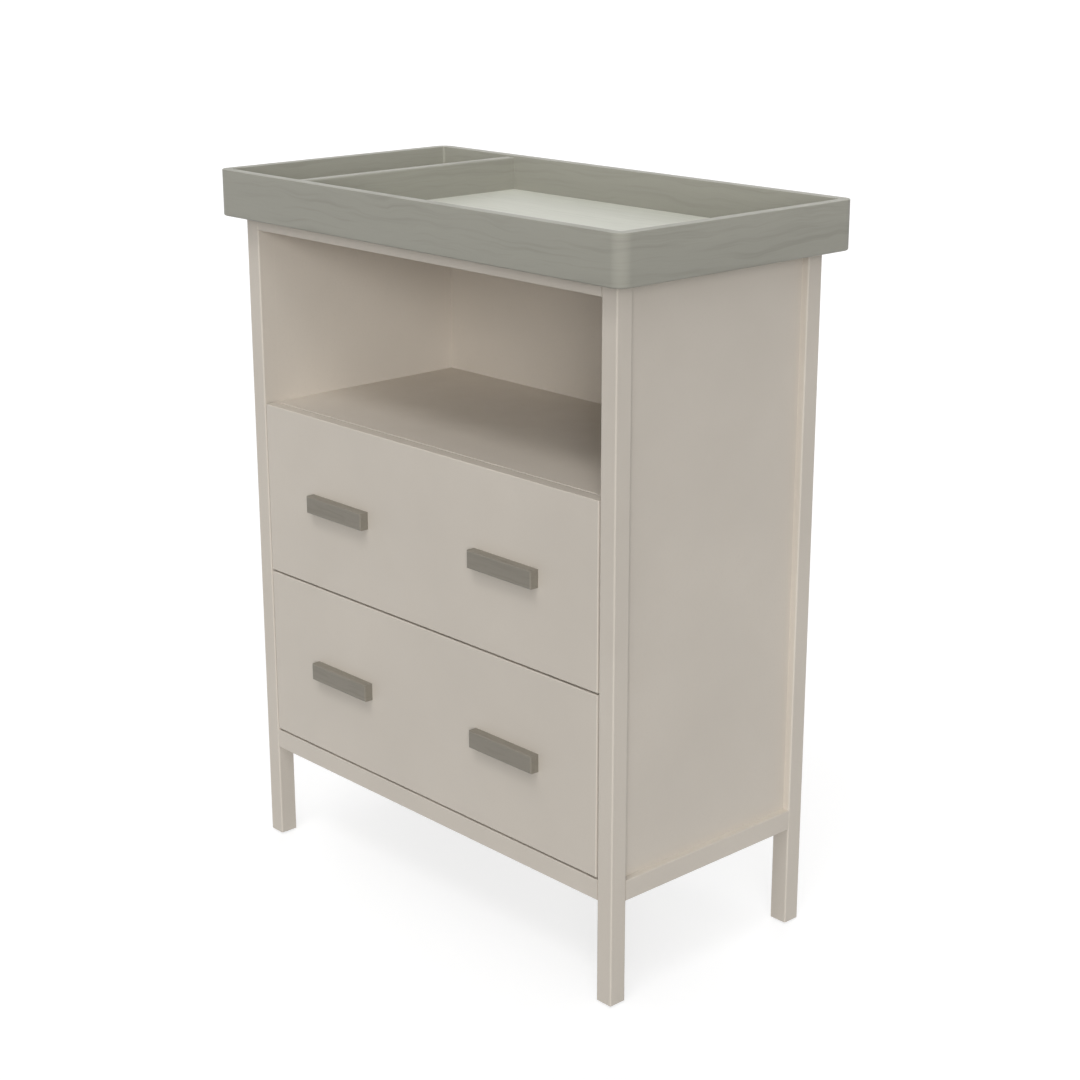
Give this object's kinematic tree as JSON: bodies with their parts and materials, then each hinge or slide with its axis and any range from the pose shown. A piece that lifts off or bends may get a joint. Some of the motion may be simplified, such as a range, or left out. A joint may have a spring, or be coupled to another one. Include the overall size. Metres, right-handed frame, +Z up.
{
  "type": "changing table",
  "caption": "Dresser style changing table: rimmed tray top with a divider, open niche and roller runner drawers with block pulls on square corner posts.",
  "frame": {"origin": "on the floor under the middle of the tray, at the bottom centre of the bounding box", "axes": "+Z up from the floor, +Y to the back, +X to the right as seen from the front; the drawers open to -Y"},
  "size_m": [0.796, 0.414, 1],
  "materials": {
    "body_paint": "satin warm greige paint on wood",
    "tray_paint": "sage grey stain with a faint grain, satin",
    "tray_floor_paint": "pale sage stain, satin",
    "pull_paint": "grey lacquer, satin",
    "back_board": "fibreboard, painted on the face towards the niche, bare behind",
    "drawer_box": "pale melamine faced board",
    "drawer_bottom": "pale faced hardboard",
    "runner_steel": "cream epoxy powder coat on folded steel",
    "roller_nylon": "moulded nylon",
    "axle_steel": "zinc plated stud",
    "glide_plastic": "moulded plastic"
  },
  "bodies": {
    "cabinet": {"back_panel": "back_board", "back_rail": "body_paint", "foot_glides": "glide_plastic", "front_rail": "body_paint", "lower_cabinet_axles": "axle_steel", "lower_cabinet_runner_left": "runner_steel", "lower_cabinet_runner_right": "runner_steel", "niche_shelf": "body_paint", "post_back_left": "body_paint", "post_back_right": "body_paint", "post_front_left": "body_paint", "post_front_right": "body_paint", "side_panel_left": "body_paint", "side_panel_right": "body_paint", "side_rail_left": "body_paint", "side_rail_right": "body_paint", "top_panel": "body_paint", "tray_back": "tray_paint", "tray_divider": "tray_paint", "tray_floor": "tray_floor_paint", "tray_front": "tray_paint", "tray_left": "tray_paint", "tray_right": "tray_paint", "upper_cabinet_axles": "axle_steel", "upper_cabinet_runner_left": "runner_steel", "upper_cabinet_runner_right": "runner_steel"},
    "upper_drawer": {"upper_back": "drawer_box", "upper_bottom": "drawer_bottom", "upper_drawer_axles": "axle_steel", "upper_drawer_runner_left": "runner_steel", "upper_drawer_runner_right": "runner_steel", "upper_front": "body_paint", "upper_pull_left": "pull_paint", "upper_pull_right": "pull_paint", "upper_side_left": "drawer_box", "upper_side_right": "drawer_box"},
    "lower_drawer": {"lower_back": "drawer_box", "lower_bottom": "drawer_bottom", "lower_drawer_axles": "axle_steel", "lower_drawer_runner_left": "runner_steel", "lower_drawer_runner_right": "runner_steel", "lower_front": "body_paint", "lower_pull_left": "pull_paint", "lower_pull_right": "pull_paint", "lower_side_left": "drawer_box", "lower_side_right": "drawer_box"},
    "upper_front_rollers": {"upper_front_roller_left": "roller_nylon", "upper_front_roller_right": "roller_nylon"},
    "upper_rear_rollers": {"upper_rear_roller_left": "roller_nylon", "upper_rear_roller_right": "roller_nylon"},
    "lower_front_rollers": {"lower_front_roller_left": "roller_nylon", "lower_front_roller_right": "roller_nylon"},
    "lower_rear_rollers": {"lower_rear_roller_left": "roller_nylon", "lower_rear_roller_right": "roller_nylon"}
  },
  "joints": [
    {"name": "upper_drawer_slide", "type": "slide", "parent": "cabinet", "child": "upper_drawer", "axis": [0, -1, 0], "range_m": [0, 0.226]},
    {"name": "upper_front_roller_turn", "type": "hinge", "parent": "cabinet", "child": "upper_front_rollers", "pos_m": [0, -0.149, 0.453], "axis": [1, 0, 0], "range_deg": [0, 1410]},
    {"name": "upper_rear_roller_turn", "type": "hinge", "parent": "upper_drawer", "child": "upper_rear_rollers", "pos_m": [0, 0.123, 0.4527], "axis": [1, 0, 0], "range_deg": [0, 1410]},
    {"name": "lower_drawer_slide", "type": "slide", "parent": "cabinet", "child": "lower_drawer", "axis": [0, -1, 0], "range_m": [0, 0.226]},
    {"name": "lower_front_roller_turn", "type": "hinge", "parent": "cabinet", "child": "lower_front_rollers", "pos_m": [0, -0.149, 0.2035], "axis": [1, 0, 0], "range_deg": [0, 1410]},
    {"name": "lower_rear_roller_turn", "type": "hinge", "parent": "lower_drawer", "child": "lower_rear_rollers", "pos_m": [0, 0.123, 0.2032], "axis": [1, 0, 0], "range_deg": [0, 1410]}
  ],
  "couplings": [
    {"joint": "upper_front_roller_turn", "follows": "upper_drawer_slide", "rad_per_m": 108.7},
    {"joint": "upper_rear_roller_turn", "follows": "upper_drawer_slide", "rad_per_m": 108.7},
    {"joint": "lower_front_roller_turn", "follows": "lower_drawer_slide", "rad_per_m": 108.7},
    {"joint": "lower_rear_roller_turn", "follows": "lower_drawer_slide", "rad_per_m": 108.7}
  ]
}
